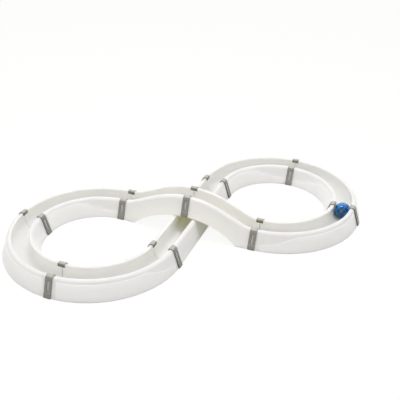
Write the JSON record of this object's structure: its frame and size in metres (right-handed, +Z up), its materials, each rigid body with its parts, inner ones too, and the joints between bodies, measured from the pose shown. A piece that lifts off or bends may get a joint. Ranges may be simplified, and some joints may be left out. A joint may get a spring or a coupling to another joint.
{
  "type": "cat ball track toy",
  "caption": "Figure-eight ball track for cats: M-section plastic track with snap clips, a bridge at the crossing and a clear blue light-up ball in the channel.",
  "frame": {"origin": "on the floor, straight under the middle of the bridge, where the two runs of track cross", "axes": "+X from the left loop to the right loop, which holds the ball, +Y to the back, +Z up"},
  "size_m": [0.8808, 0.4142, 0.0946],
  "materials": {
    "track_plastic": "milky white moulded plastic, softly glossy",
    "clip_plastic": "warm grey moulded plastic, satin",
    "ball_shell": "clear blue moulded plastic, polished",
    "core_plastic": "dark blue-green moulded plastic",
    "board": "solder-masked glass-fibre laminate",
    "led_lens": "clear cast resin",
    "cell_steel": "nickel-plated steel",
    "contact_brass": "plain sheet and pin",
    "spring_steel": "drawn wire"
  },
  "bodies": {
    "track": {"curve_left_back": "track_plastic", "curve_left_end": "track_plastic", "curve_left_front": "track_plastic", "curve_right_back": "track_plastic", "curve_right_end": "track_plastic", "curve_right_front": "track_plastic", "ramp_left": "track_plastic", "ramp_right": "track_plastic", "underpass_straight": "track_plastic", "clip_left_back_outer": "clip_plastic", "clip_left_back_inner": "clip_plastic", "clip_left_front_outer": "clip_plastic", "clip_left_front_inner": "clip_plastic", "clip_left_ramp_outer": "clip_plastic", "clip_left_ramp_inner": "clip_plastic", "clip_left_straight_outer": "clip_plastic", "clip_left_straight_inner": "clip_plastic", "clip_right_back_outer": "clip_plastic", "clip_right_back_inner": "clip_plastic", "clip_right_front_outer": "clip_plastic", "clip_right_front_inner": "clip_plastic", "clip_right_ramp_outer": "clip_plastic", "clip_right_ramp_inner": "clip_plastic", "clip_right_straight_outer": "clip_plastic", "clip_right_straight_inner": "clip_plastic", "clip_bridge_front": "clip_plastic", "clip_bridge_back": "clip_plastic"},
    "ball": {"ball_shell_lower": "ball_shell", "ball_shell_upper": "ball_shell", "core_cup": "core_plastic", "core_cover": "core_plastic", "circuit_board": "board", "led_left": "led_lens", "led_right": "led_lens", "button_cell_low": "cell_steel", "button_cell_mid": "cell_steel", "button_cell_top": "cell_steel", "battery_contact": "contact_brass", "motion_pin": "contact_brass", "motion_spring": "spring_steel"}
  },
  "joints": [
    {"name": "ball_travel", "type": "hinge", "parent": "track", "child": "ball", "pos_m": [0.23335, 0, 0], "axis": [0, 0, 1], "range_deg": [-93, 177]}
  ]
}
